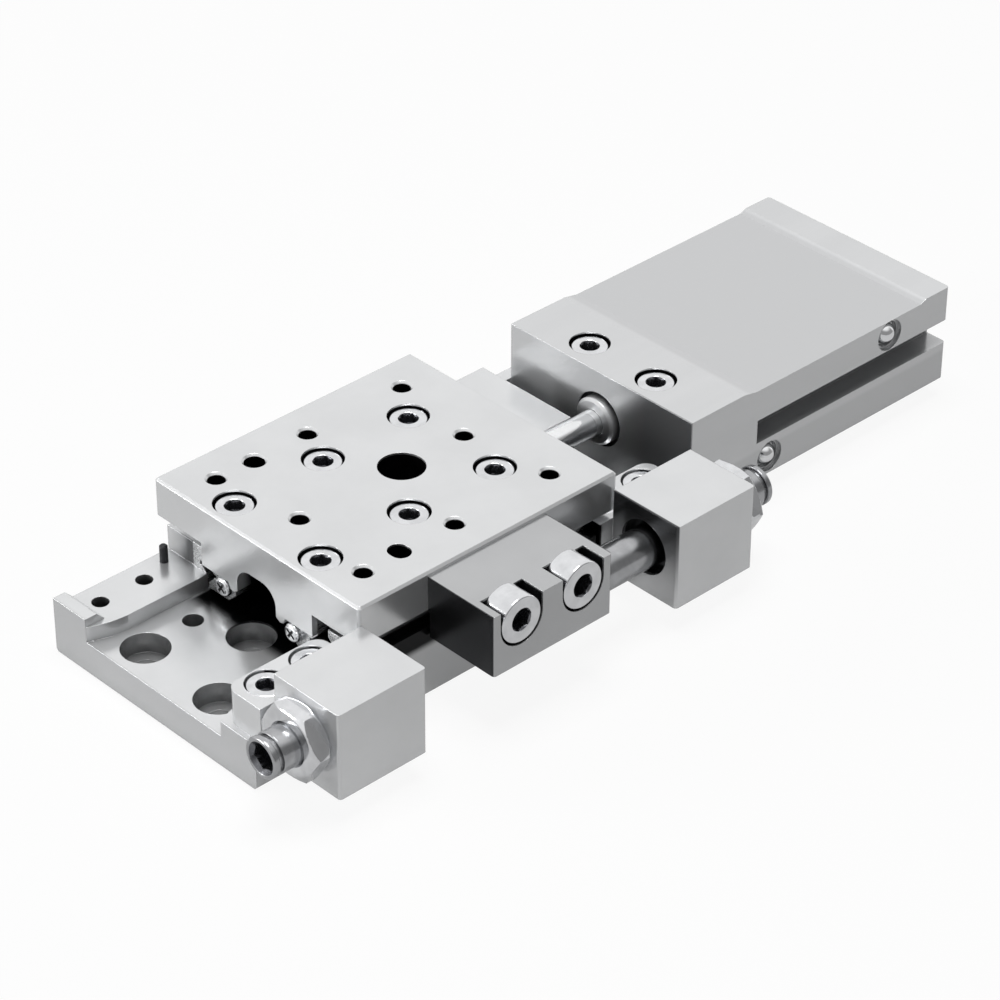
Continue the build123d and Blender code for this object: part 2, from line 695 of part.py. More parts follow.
# Cylinder body: a flat bar with a through bore, a switch groove in each side,
# ports in both sides and a shallow relief across the top
with BuildPart() as cylinder_body:
    with BuildSketch(Plane.YZ.offset(cyl_x)):
        with Locations((0, axis_z)):
            Rectangle(cyl_w, cyl_h)
    extrude(amount=cyl_len)
    fillet(cylinder_body.edges().filter_by(Axis.Z).group_by(Axis.X)[-1], 0.5)
    with BuildSketch(Plane.XZ.offset(-cyl_w / 2)):
        with BuildLine():
            Polyline((cyl_x + pad_len - pad_ramp, cyl_top), (cyl_x + pad_len, cyl_top - pad_step),
                     (cyl_rear - rear_pad_len, cyl_top - pad_step),
                     (cyl_rear - rear_pad_len + rear_pad_ramp, cyl_top), close=True)
        make_face()
    extrude(amount=cyl_w, mode=Mode.SUBTRACT)
    with BuildSketch(Plane.XY.offset(groove_z_low)):
        for y in (-1, 1):
            with Locations((cyl_x + groove_start, y * (cyl_w / 2 - groove_depth))):
                Rectangle(cyl_len, groove_depth, align=(Align.MIN, Align.MIN if y > 0 else Align.MAX))
    extrude(amount=groove_h, mode=Mode.SUBTRACT)
    # Bore with a wider mouth and a retaining ring groove at each end
    with BuildSketch(Plane.YZ.offset(cyl_x)):
        with Locations((0, axis_z)):
            Circle(bore_r)
    extrude(amount=cyl_len, mode=Mode.SUBTRACT)
    for mouth_x, mouth_len in ((cyl_x, cover_start - ring_t), (cyl_rear, -(cover_start - ring_t))):
        with BuildSketch(Plane.YZ.offset(mouth_x)):
            with Locations((0, axis_z)):
                Circle(mouth_d / 2)
        extrude(amount=mouth_len, mode=Mode.SUBTRACT)
    for ring_x in (cover_x - ring_t, cyl_rear - cover_start):
        with BuildSketch(Plane.YZ.offset(ring_x)):
            with Locations((0, axis_z)):
                Circle(bore_r + ring_w)
        extrude(amount=ring_t, mode=Mode.SUBTRACT)
    with Locations(*[(body_screws_x, y * body_screw_row / 2, cyl_top) for y in (-1, 1)]):
        CounterBoreHole(m3[0] + 0.2, m3[1] + head_gap, m3[2] + 0.4)
    # Air ports in both sides, each with a passage to its end of the bore
    for port_x, port_z, passage_z in ports:
        for y in (-1, 1):
            with BuildSketch(Plane.XZ.offset(-y * cyl_w / 2)):
                with Locations((port_x, port_z)):
                    Circle(tap_m5)
            extrude(amount=y * port_depth, mode=Mode.SUBTRACT)
        with BuildSketch(Plane.XZ.offset(cyl_w / 2)):
            with Locations((port_x, port_z)):
                Circle(tap_m5 + plug_seat_w)
        extrude(amount=-plug_seat_depth, mode=Mode.SUBTRACT)
        with BuildSketch(Plane.XZ.offset(-cyl_w / 2)):
            with Locations((port_x, passage_z)):
                Circle(passage_r)
        extrude(amount=cyl_w, mode=Mode.SUBTRACT)
cylinder_body.part.label = "cylinder_body"
export_step(cylinder_body.part, "parts/cylinder_body.step")

with BuildPart() as body_screws:
    seat = cyl_top - m3[2] - 0.4
    socket_screws(Plane.XY.offset(seat), [(body_screws_x, y * body_screw_row / 2) for y in (-1, 1)],
                  m3, seat - 0.3)
body_screws.part.label = "body_screws"
export_step(body_screws.part, "parts/body_screws.step")

# Steel plugs with a domed face close the two near ports
with BuildPart() as port_plugs:
    plug_r = tap_m5 - 0.02
    for port_x, port_z, passage_z in ports:
        with BuildSketch(Plane.XY.offset(port_z)):
            with BuildLine():
                Polyline((port_x, -cyl_w / 2 + plug_in), (port_x, -cyl_w / 2 - plug_dome))
                ThreePointArc((port_x, -cyl_w / 2 - plug_dome),
                              (port_x + plug_r * 0.72, -cyl_w / 2 + 0.2),
                              (port_x + plug_r, -cyl_w / 2 + 1.6))
                Polyline((port_x + plug_r, -cyl_w / 2 + 1.6), (port_x + plug_r, -cyl_w / 2 + plug_in),
                         (port_x, -cyl_w / 2 + plug_in))
            make_face()
        revolve(axis=Axis((port_x, 0, port_z), (0, 1, 0)))
port_plugs.part.label = "port_plugs"
export_step(port_plugs.part, "parts/port_plugs.step")


fit_r = bore_r - 0.02
cyl_axis = Axis((0, 0, axis_z), (1, 0, 0))
seal_x = cover_x + 1.4
seal_len = 2.4
o_ring_x = cover_x + 8.0
o_ring_w = 1.6
with BuildPart() as rod_cover:
    profile = [(cyl_x - nose_out, rod_r + rod_play), (cyl_x - nose_out, nose_d / 2 - 0.4),
               (cyl_x - nose_out + 0.4, nose_d / 2), (cover_x, nose_d / 2), (cover_x, fit_r),
               (o_ring_x, fit_r), (o_ring_x, bore_r - 1.35), (o_ring_x + o_ring_w, bore_r - 1.35),
               (o_ring_x + o_ring_w, fit_r), (cover_end, fit_r), (cover_end, rod_r + rod_play),
               (seal_x + seal_len, rod_r + rod_play), (seal_x + seal_len, rod_r + 1.2),
               (seal_x, rod_r + 1.2), (seal_x, rod_r + rod_play)]
    revolve(half_section(profile), axis=cyl_axis)
rod_cover.part.label = "rod_cover"
export_step(rod_cover.part, "parts/rod_cover.step")

with BuildPart() as rod_seal:
    profile = [(seal_x + 0.05, rod_r + rod_play), (seal_x + 0.05, rod_r + 1.15),
               (seal_x + seal_len - 0.05, rod_r + 1.15),
               (seal_x + seal_len - 0.05, rod_r + rod_play)]
    revolve(half_section(profile), axis=cyl_axis)
rod_seal.part.label = "rod_seal"
export_step(rod_seal.part, "parts/rod_seal.step")

with BuildPart() as cover_o_ring:
    profile = [(o_ring_x + 0.1, bore_r - 1.3), (o_ring_x + 0.1, fit_r),
               (o_ring_x + o_ring_w - 0.1, fit_r), (o_ring_x + o_ring_w - 0.1, bore_r - 1.3)]
    revolve(half_section(profile), axis=cyl_axis)
cover_o_ring.part.label = "cover_o_ring"
export_step(cover_o_ring.part, "parts/cover_o_ring.step")

# Open retaining rings at both ends of the bore
ring_inner = nose_d / 2 + 0.05
for ring_name, ring_x in (("front_retaining_ring", cover_x - ring_t),
                          ("rear_retaining_ring", cyl_rear - cover_start)):
    with BuildPart() as retaining_ring:
        with BuildSketch(Plane.YZ.offset(ring_x + 0.03)):
            with Locations((0, axis_z)):
                Circle(bore_r + ring_w - 0.03)
                Circle(ring_inner, mode=Mode.SUBTRACT)
            with Locations((0, axis_z - bore_r)):
                Rectangle(2.4, 3.0, mode=Mode.SUBTRACT)
        extrude(amount=ring_t - 0.06)
    retaining_ring.part.label = ring_name
    export_step(retaining_ring.part, f"parts/{ring_name}.step")

for bumper_name, bumper_x in (("front_bumper", cover_end), ("rear_bumper", head_x - bumper_t)):
    with BuildPart() as bumper:
        profile = [(bumper_x, rod_r + 0.2), (bumper_x, bore_r - 0.6),
                   (bumper_x + bumper_t, bore_r - 0.6), (bumper_x + bumper_t, rod_r + 0.2)]
        revolve(half_section(profile), axis=cyl_axis)
    bumper.part.label = bumper_name
    export_step(bumper.part, f"parts/{bumper_name}.step")

head_end = cyl_rear - cover_start
head_ring_x = head_x + 2.0
with BuildPart() as head_cover:
    profile = [(head_x, 0), (head_x, fit_r), (head_ring_x, fit_r), (head_ring_x, bore_r - 1.35),
               (head_ring_x + o_ring_w, bore_r - 1.35), (head_ring_x + o_ring_w, fit_r),
               (head_end, fit_r), (head_end, 0)]
    revolve(half_section(profile), axis=cyl_axis)
    with BuildSketch(Plane.YZ.offset(head_end)):
        with Locations((0, axis_z)):
            Circle(1.6)
    extrude(amount=-1.5, mode=Mode.SUBTRACT)
head_cover.part.label = "head_cover"
export_step(head_cover.part, "parts/head_cover.step")

with BuildPart() as head_o_ring:
    profile = [(head_ring_x + 0.1, bore_r - 1.3), (head_ring_x + 0.1, fit_r),
               (head_ring_x + o_ring_w - 0.1, fit_r), (head_ring_x + o_ring_w - 0.1, bore_r - 1.3)]
    revolve(half_section(profile), axis=cyl_axis)
head_o_ring.part.label = "head_o_ring"
export_step(head_o_ring.part, "parts/head_o_ring.step")

# Rod, piston and the rings on the piston
rod_bracket_x = table_rear - 0.4 - rod_bracket_len
bracket_spots = [(rod_bracket_x + rod_bracket_len / 2, y * rod_bracket_row / 2) for y in (-1, 1)]
pocket_front = rod_bracket_x + 1.5
bush_x = pocket_front + slot_gap
rod_end_x = bush_x + bush_len
rod_core = 1.5
with BuildPart() as piston_rod:
    profile = [(bush_x, 0), (bush_x, rod_core - thread_gap), (rod_end_x, rod_core - thread_gap),
               (rod_end_x, rod_r), (piston_x, rod_r), (piston_x, rod_core - thread_gap),
               (piston_end - 0.6, rod_core - thread_gap), (piston_end - 0.6, 0)]
    revolve(half_section(profile), axis=cyl_axis)
piston_rod.part.label = "piston_rod"
export_step(piston_rod.part, "parts/piston_rod.step")

piston_r = bore_r - piston_play
wear_x = piston_x + 1.4
magnet_x = piston_x + 4.6
piston_seal_x = piston_end - 3.4
with BuildPart() as piston:
    profile = [(piston_x, rod_core), (piston_x, piston_r - 0.3), (piston_x + 0.3, piston_r),
               (wear_x, piston_r), (wear_x, piston_r - 0.6), (wear_x + 1.8, piston_r - 0.6),
               (wear_x + 1.8, piston_r), (magnet_x, piston_r), (magnet_x, piston_r - 1.3),
               (magnet_x + 3.6, piston_r - 1.3), (magnet_x + 3.6, piston_r),
               (piston_seal_x, piston_r), (piston_seal_x, piston_r - 1.2),
               (piston_seal_x + 1.8, piston_r - 1.2), (piston_seal_x + 1.8, piston_r),
               (piston_end, piston_r), (piston_end, rod_core)]
    revolve(half_section(profile), axis=cyl_axis)
piston.part.label = "piston"
export_step(piston.part, "parts/piston.step")

for ring_name, ring_x, ring_len, depth, outer in (
        ("wear_ring", wear_x, 1.8, 0.6, piston_r + 0.02),
        ("piston_magnet", magnet_x, 3.6, 1.3, piston_r - 0.2),
        ("piston_seal", piston_seal_x, 1.8, 1.2, piston_r + 0.03)):
    with BuildPart() as piston_ring:
        profile = [(ring_x + 0.05, piston_r - depth + 0.03), (ring_x + 0.05, outer),
                   (ring_x + ring_len - 0.05, outer),
                   (ring_x + ring_len - 0.05, piston_r - depth + 0.03)]
        revolve(half_section(profile), axis=cyl_axis)
    piston_ring.part.label = ring_name
    export_step(piston_ring.part, f"parts/{ring_name}.step")

# Rod bracket under the table, with a slot from below for the floating bush
with BuildPart() as rod_bracket:
    with BuildSketch(Plane.XY.offset(rod_bracket_bottom)):
        with Locations((rod_bracket_x, 0)):
            Rectangle(rod_bracket_len, rod_bracket_w, align=(Align.MIN, Align.CENTER))
    extrude(amount=table_bottom - rod_bracket_bottom)
    for slot_x, slot_len, half in ((pocket_front, bush_len + 2 * slot_gap, bush_r + slot_gap / 2),
                                   (pocket_front, rod_bracket_len - 1.5, rod_r + slot_gap)):
        with BuildSketch(Plane.YZ.offset(slot_x)):
            with Locations((0, axis_z)):
                Circle(half)
                Rectangle(2 * half, axis_z - rod_bracket_bottom, align=(Align.CENTER, Align.MAX))
        extrude(amount=slot_len, mode=Mode.SUBTRACT)
    with Locations(*[Location((*spot, rod_bracket_bottom), (180, 0, 0)) for spot in bracket_spots]):
        CounterBoreHole(m25[0] + 0.15, m25[1] + 0.2, m25[2])
rod_bracket.part.label = "rod_bracket"
export_step(rod_bracket.part, "parts/rod_bracket.step")

with BuildPart() as rod_bracket_screws:
    screw_plane = Plane(origin=(0, 0, rod_bracket_bottom + m25[2]), x_dir=(1, 0, 0), z_dir=(0, 0, -1))
    socket_screws(screw_plane, bracket_spots, m25,
                  table_bottom - rod_bracket_bottom - m25[2] + rod_bracket_grip)
rod_bracket_screws.part.label = "rod_bracket_screws"
export_step(rod_bracket_screws.part, "parts/rod_bracket_screws.step")

with BuildPart() as floating_bush:
    profile = [(bush_x, rod_core), (bush_x, bush_r), (rod_end_x, bush_r), (rod_end_x, rod_core)]
    revolve(half_section(profile), axis=cyl_axis)
floating_bush.part.label = "floating_bush"
export_step(floating_bush.part, "parts/floating_bush.step")
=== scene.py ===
# %% [markdown]
# This lesson dresses a small pneumatic slide: a table on crossed-roller rails, pushed by a flat
# air cylinder. The CAD model already holds every piece at its real size, so this file never
# moves one. It adds the finish of each surface, and it remakes the turned and hexagonal pieces
# as fine surfaces, because those catch the light on small rounded edges.

# %% Load the frame
import json
import bpy
import bmesh
import numpy as np
from mathutils import Matrix, Vector


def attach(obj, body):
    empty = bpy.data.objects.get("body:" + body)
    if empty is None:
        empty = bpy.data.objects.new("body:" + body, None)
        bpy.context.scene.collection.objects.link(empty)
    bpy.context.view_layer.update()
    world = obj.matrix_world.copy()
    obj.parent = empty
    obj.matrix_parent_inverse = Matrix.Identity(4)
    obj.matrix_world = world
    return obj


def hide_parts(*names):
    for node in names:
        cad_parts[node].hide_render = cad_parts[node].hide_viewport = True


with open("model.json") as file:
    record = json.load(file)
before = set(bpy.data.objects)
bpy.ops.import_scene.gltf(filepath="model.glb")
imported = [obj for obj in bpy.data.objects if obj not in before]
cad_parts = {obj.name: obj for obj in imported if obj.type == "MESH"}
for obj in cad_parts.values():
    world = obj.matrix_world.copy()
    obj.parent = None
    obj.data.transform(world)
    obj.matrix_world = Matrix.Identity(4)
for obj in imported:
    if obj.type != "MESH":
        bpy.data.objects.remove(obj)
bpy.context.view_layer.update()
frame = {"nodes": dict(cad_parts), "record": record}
bpy.context.scene.view_settings.view_transform = "Standard"
MM = 0.001
print("CAD nodes:", len(frame["nodes"]))

# %% [markdown]
# The camera comes first, because every later choice is seen through it. The photo was
# matched with a long lens about half a metre away. The lens looks at a point in the middle of
# the slide, and a small sideways step, found with the angles, brings the slide to its place in
# the picture. The lens is worked out for an image 1000 pixels wide.

# %% Camera
IMAGE_SIDE = 1000
LOOK_AT = np.array([38.2, 0.0, 8.0]) * MM
AZIMUTH, ELEVATION, ROLL = np.radians([-43.49, 34.17, 0.23])
SCALE = 7.24 / MM
DEPTH = 526.0 * MM
STEP_RIGHT, STEP_UP = 14.48 * MM, 5.85 * MM

right = np.array([np.cos(AZIMUTH), np.sin(AZIMUTH), 0.0])
back = np.array([np.sin(AZIMUTH) * np.cos(ELEVATION), -np.cos(AZIMUTH) * np.cos(ELEVATION),
                 np.sin(ELEVATION)])
up = np.cross(back, right)
right, up = (np.cos(ROLL) * right + np.sin(ROLL) * up, np.cos(ROLL) * up - np.sin(ROLL) * right)
eye = LOOK_AT + DEPTH * back + STEP_RIGHT * right + STEP_UP * up

camera = bpy.data.objects.new("camera", bpy.data.cameras.new("camera"))
bpy.context.scene.collection.objects.link(camera)
camera.data.sensor_width = 36.0
camera.data.lens = 36.0 * SCALE * DEPTH / IMAGE_SIDE
camera.data.clip_start = 0.01
pose = np.vstack([np.column_stack([right, up, back, eye]), [0, 0, 0, 1]])
camera.matrix_world = Matrix(pose.tolist())
bpy.context.scene.camera = camera
print("lens, mm:", round(camera.data.lens, 1))

# %% [markdown]
# Colours are picked as sRGB hex values, as a colour picker shows them, but shaders work in
# linear light. One function turns the first into the second. A second small function adds a
# node to a material, sets its values and links its inputs, so that a finish reads as a recipe.

# %% Colour and node helpers
def linear(code):
    """sRGB hex to linear RGBA: each channel is undone with the sRGB curve."""
    channels = np.array([int(code[i:i + 2], 16) for i in (1, 3, 5)]) / 255.0
    lit = np.where(channels <= 0.04045, channels / 12.92, ((channels + 0.055) / 1.055) ** 2.4)
    return (*lit.tolist(), 1.0)


def add(tree, kind, inputs=None, **settings):
    """Add a node, set its properties, and fill each input with a value or a link."""
    made = tree.nodes.new(kind)
    for key, value in settings.items():
        setattr(made, key, value)
    for key, value in (inputs or {}).items():
        if isinstance(value, bpy.types.NodeSocket):
            tree.links.new(value, made.inputs[key])
        else:
            made.inputs[key].default_value = value
    return made


def new_material(name):
    """A material with an empty node tree."""
    made = bpy.data.materials.new(name)
    made.use_nodes = True
    made.node_tree.nodes.clear()
    return made, made.node_tree


# %% [markdown]
# Machined metal is never quite even. Every metal here is built the same way: a light and a
# dark shade of the metal mixed by a soft cloud, a fine grain that the tool or the blasting
# left, which tilts the surface a little, and a rounded-edge normal, because even a sharp
# machined edge is broken by a tenth of a millimetre and shines there. Holes and corners are
# painted darker toward black, painted shade: an ambient occlusion node finds those places, as
# it measures how much of the piece itself stands within a few millimetres of the surface. More
# painted shade, and one tone of the bar, go into boxes in the object's own millimetres: on each
# axis the box's colour starts at one value and is full at the next.

# %% A recipe for metals
# near black that stands for shade, painted shade
SHADE_BLACK = "#101113"


def box_mask(tree, where, limits):
    """Product of smooth steps, a mask for a box. Each limit is (axis, onset, full) in mm, and a
    lower case axis means the distance from the middle plane."""
    apart = add(tree, "ShaderNodeSeparateXYZ", {"Vector": where})
    mask = 1.0
    for axis, onset, full in limits:
        value = apart.outputs[axis.upper()]
        if axis.islower():
            value = add(tree, "ShaderNodeMath", {0: value}, operation="ABSOLUTE").outputs[0]
        step = add(tree, "ShaderNodeMapRange", {"Value": value, "From Min": onset * MM,
                                                "From Max": full * MM},
                   interpolation_type="SMOOTHSTEP")
        mask = add(tree, "ShaderNodeMath", {0: step.outputs["Result"], 1: mask},
                   operation="MULTIPLY").outputs[0]
    return mask


def inside(node, near=0.35):
    """Limits of a box `near` mm inside the box of a CAD node: its holes, not its faces."""
    corners = np.array(frame["nodes"][node].bound_box) / MM
    limits = []
    for axis, low, high in zip("XYZ", corners.min(0), corners.max(0)):
        limits += [(axis, low + near - 0.1, low + near), (axis, high - near + 0.1, high - near)]
    return limits


def metal(name, light, dark, metallic, roughness, grain_mm, grain_depth, cloud_mm=9.0,
          stretch=(1, 1, 1), edge_mm=0.12, spread=0.04, hollow_shade=0.92, hollow_shade_mm=6.0, tone_and_shade_boxes=(), sharp=()):
    """Metal whose shade drifts over cloud_mm and whose surface has a grain of grain_mm. Its hollows
    are painted toward black, painted shade, by up to hollow_shade within hollow_shade_mm. Inside
    the limits `sharp` its edges are not rounded."""
    made, tree = new_material(name)
    where = add(tree, "ShaderNodeTexCoord").outputs["Object"]
    placed = add(tree, "ShaderNodeMapping", {"Vector": where, "Scale": stretch}).outputs["Vector"]
    cloud = add(tree, "ShaderNodeTexNoise",
                {"Vector": placed, "Scale": 1 / (cloud_mm * MM), "Detail": 4.0, "Roughness": 0.55})
    grain = add(tree, "ShaderNodeTexNoise",
                {"Vector": placed, "Scale": 1 / (grain_mm * MM), "Detail": 3.0, "Roughness": 0.6})
    drift = add(tree, "ShaderNodeMapRange",
                {"Value": cloud.outputs["Fac"], "From Min": 0.35, "From Max": 0.65})
    speck = add(tree, "ShaderNodeMapRange",
                {"Value": grain.outputs["Fac"], "From Min": 0.3, "From Max": 0.7,
                 "To Min": roughness - spread, "To Max": roughness + spread})
    shade = add(tree, "ShaderNodeMix", {"Factor": drift.outputs["Result"], "A": linear(dark),
                                        "B": linear(light)}, data_type="RGBA")
    rounding = edge_mm * MM
    if sharp:
        eased = add(tree, "ShaderNodeMapRange", {"Value": box_mask(tree, where, sharp),
                                                 "To Min": rounding, "To Max": 0.0})
        rounding = eased.outputs["Result"]
    edge = add(tree, "ShaderNodeBevel", {"Radius": rounding}, samples=4)
    # painted shade: where the piece itself stands close round a point, its colour is mixed toward
    # black
    near = add(tree, "ShaderNodeAmbientOcclusion", {"Distance": hollow_shade_mm * MM}, samples=6,
               only_local=True)
    hollow_shade_share = add(tree, "ShaderNodeMapRange", {"Value": near.outputs["AO"], "From Min": 0.1,
                                            "From Max": 0.72, "To Min": hollow_shade, "To Max": 0.0})
    # painted shade in boxes, and the darker tone of the bar in its recess
    for box_colour, limits in tone_and_shade_boxes:
        shade = add(tree, "ShaderNodeMix", {"Factor": box_mask(tree, where, limits),
                                            "A": shade.outputs["Result"],
                                            "B": linear(box_colour)}, data_type="RGBA")
    hollow_shaded = add(tree, "ShaderNodeMix", {"Factor": hollow_shade_share.outputs["Result"],
                                        "A": shade.outputs["Result"],
                                        "B": linear(SHADE_BLACK)}, data_type="RGBA")
    bump = add(tree, "ShaderNodeBump", {"Strength": 1.0, "Distance": grain_depth * MM,
                                        "Height": grain.outputs["Fac"],
                                        "Normal": edge.outputs["Normal"]})
    shader = add(tree, "ShaderNodeBsdfPrincipled",
                 {"Base Color": hollow_shaded.outputs["Result"], "Metallic": metallic,
                  "Roughness": speck.outputs["Result"], "Normal": bump.outputs["Normal"]})
    add(tree, "ShaderNodeOutputMaterial", {"Surface": shader.outputs["BSDF"]})
    return made


# %% [markdown]
# The base, table, brackets and cylinder are aluminium, milled, blasted with fine glass beads
# and anodised clear. Blasting leaves pits of about 0.1 mm, too fine for this picture, so they
# are drawn at 0.35 mm. The oxide skin scatters light, which makes the metal look like pale
# satin. The cylinder is an extruded bar, so its grain runs along X, and the shallow recess in
# its top keeps the darker skin of the bar. Shade is painted on: the channel, the near wall
# where the stopper slides and the table's underside are painted black, and the step face beside
# the guide, the face of the rear bracket toward the stopper and the near half of the cylinder's
# front face are painted a darker grey. The seat of the high air port runs out to a knife edge
# under that recess, and a rounded edge there would draw a white speck, so the cylinder's edges
# stay sharp round it.

# %% Aluminium finishes
SATIN = {"light": "#e6e7e8", "dark": "#e1e2e3", "metallic": 0.65, "roughness": 0.22,
         "grain_mm": 0.35, "grain_depth": 0.004}
EXTRUDED = {**SATIN, "light": "#dedfe0", "dark": "#d9dadb"}
FLANGE_HOLES_FROM = (-3.6, 57.4)
blasted = metal("bead_blasted_anodised_aluminium", **SATIN)
channel = metal("anodised_aluminium_painted_shade_channel", **SATIN, hollow_shade_mm=8.0,
                tone_and_shade_boxes=(
                    # painted shade: the channel between the rails, black
                    (SHADE_BLACK, [("X", 10.5, 13.0), ("y", 12.4, 11.9), ("Z", 10.9, 10.4),
                              ("Z", 4.6, 4.8)]),
                    # painted shade: the near wall along the stopper's path, black
                    (SHADE_BLACK, [("X", 14.6, 15.6), ("X", 59.5, 58.5), ("Y", -18.0, -19.0),
                              ("Z", 7.6, 9.0)]),
                    # painted shade: the step face beside the guide, grey
                    ("#8c8d8f", [("X", 14.7, 14.9), ("X", 15.3, 15.1), ("Y", 20.9, 15.0),
                                 ("Z", 7.4, 7.6)]),
                    # painted shade: the front end face, a little darker
                    ("#d4d5d6", [("X", -4.7, -4.9)])))
underside = metal("anodised_aluminium_painted_shade_below", **SATIN,
                  tone_and_shade_boxes=(
                      # painted shade: the arch over the channel, black
                      (SHADE_BLACK, [("X", 13.6, 16.0), ("y", 12.4, 11.9), ("Z", 13.9, 13.4)]),
                      # painted shade: the walls of the holes, near black
                      ("#1b1a1a", inside("table") + [("Z", 14.1, 14.3)])))
extruded = metal("extruded_anodised_aluminium", **EXTRUDED, stretch=(0.12, 1, 1), hollow_shade=0.55,
                 tone_and_shade_boxes=(
                     # the recess in the top
                     ("#d0d1d2", [("X", 78.0, 79.0), ("y", 18.25, 18.15), ("Z", 18.6, 18.4)]),
                     # painted shade: the mouth of the bore, black
                     (SHADE_BLACK, [("X", 77.7, 77.9), ("X", 92.2, 92.0), ("y", 6.0, 5.8),
                               ("Z", 17.9, 17.7)]),
                     # painted shade: the holes of the body screws, black
                     (SHADE_BLACK, [("X", 78.4, 78.6), ("X", 86.4, 86.2), ("y", 10.4, 10.2),
                               ("Z", 18.6, 18.4)]),
                     # painted shade: the near half of the front face, darker grey
                     ("#9a9b9d", [("X", 77.9, 77.7), ("Y", -2.0, -10.0)]),
                     # painted shade: both sides, a little darker below the switch grooves
                     ("#cfd0d1", [("y", 17.6, 17.9), ("Z", 8.4, 7.4)])),
                 sharp=[("X", 117.0, 117.4), ("X", 121.4, 121.0), ("y", 17.0, 17.3),
                        ("Z", 17.2, 17.4)])
flanged = metal("anodised_aluminium_painted_shade_flanges", **SATIN,
                # painted shade: the screw holes of each flange, black
                tone_and_shade_boxes=[(SHADE_BLACK, [("X", x, x + 0.2), ("X", x + 15.0, x + 14.8), ("Y", -20.9, -20.7),
                                 ("Y", -14.9, -15.1), ("Z", 7.6, 7.8), ("Z", 12.65, 12.5)])
                       for x in FLANGE_HOLES_FROM] + [
                    # painted shade: the rear block's face toward the stopper, dark grey
                    ("#4c4d4f", [("X", 59.1, 59.3), ("X", 59.8, 59.6), ("Y", -21.2, -21.4),
                                 ("Z", 4.0, 17.0)]),
                    # painted shade: the recess round the bolt in that face, near black
                    ("#2c2d2f", [("X", 59.6, 60.2), ("X", 61.6, 61.4), ("Y", -33.0, -32.5),
                                 ("Y", -21.9, -22.2), ("Z", 4.4, 4.8), ("Z", 16.4, 16.2)]),
                    # painted shade: the front end of the rear flange, black
                    (SHADE_BLACK, [("X", 56.6, 56.7), ("X", 57.3, 57.1), ("Z", 12.8, 12.6)])])
turned_alloy = metal("turned_aluminium", "#d9dadb", "#c9cacb", 0.85, 0.32, 0.12, 0.003)

# %% [markdown]
# The stopper block takes the blows, so it is steel with a matt nickel plate, darker than the
# aluminium. Its two end faces and its holes are painted nearly black, painted shade. The rails
# are ground steel, with long fine scratches along the stroke. The screws and bolts are nickel
# plated and bright; the adjuster bolts are painted a darker grey and the bottoms of the sockets
# dark, painted shade. The rod and rollers are hard-chromed and ground, the smoothest surfaces.

# %% Steel finishes
corners = np.array(frame["nodes"]["stopper_block"].bound_box) / MM
low, high = corners.min(0), corners.max(0)
# painted shade: both end faces dark grey, the holes darker still
plated_block = metal("matt_nickel_plated_steel", "#c0c1c2", "#bbbcbd", 0.75, 0.22, 0.3, 0.003,
                     tone_and_shade_boxes=(("#3c3d3f", [("X", low[0] + 0.15, low[0] + 0.05)]),
                            ("#3c3d3f", [("X", high[0] - 0.15, high[0] - 0.05)]),
                            ("#2c2d2f", inside("stopper_block"))))
# painted shade: the front ends of the rails under the table are black
ground = metal("ground_rail_steel", "#d2d3d4", "#bcbdbe", 0.9, 0.28, 0.2, 0.0015,
               stretch=(0.05, 1, 1),
               tone_and_shade_boxes=((SHADE_BLACK, [("X", 14.3, 16.8), ("y", 14.0, 13.5), ("Z", 11.0, 10.5)]),))
# painted shade: the adjuster bolts take a darker copy of the nickel plate
shaded_bolt_steel = metal("nickel_plated_bolt_steel_painted_darker", "#b3b4b6", "#a4a5a7", 1.0, 0.2, 0.15, 0.003,
                   cloud_mm=2.0, hollow_shade_mm=2.0)
bright = metal("bright_nickel_plated_steel", "#e2e3e5", "#d5d6d8", 1.0, 0.14, 0.15, 0.002,
               cloud_mm=2.0, hollow_shade_mm=2.0)
chromed = metal("hard_chromed_steel", "#f0f1f2", "#e6e7e8", 1.0, 0.10, 0.1, 0.001, cloud_mm=3.0)
# painted shade: the bottom bands of every socket take this dark steel
socket_shade_steel = metal("socket_steel_painted_shade", "#77787c", "#606165", 0.9, 0.25, 0.2, 0.004, cloud_mm=1.0,
                    hollow_shade=0.6, hollow_shade_mm=2.0)
blackened = metal("phosphated_spring_steel", "#3a3a3c", "#2a2a2c", 0.6, 0.5, 0.15, 0.004,
                  cloud_mm=1.5)
brass = metal("rolled_brass", "#d8b768", "#c6a455", 1.0, 0.3, 0.15, 0.003, stretch=(0.2, 1, 1))
magnet = metal("sintered_magnet", "#4a4a4d", "#3c3c3f", 0.4, 0.6, 0.2, 0.01, cloud_mm=1.5)

# %% [markdown]
# Rubber and resin have no metal in them: they are plain dark or pale plastics with a moulded
# grain. The rubber keeps a soft sheen from its oil, and the urethane tips are pale and slightly
# waxy.

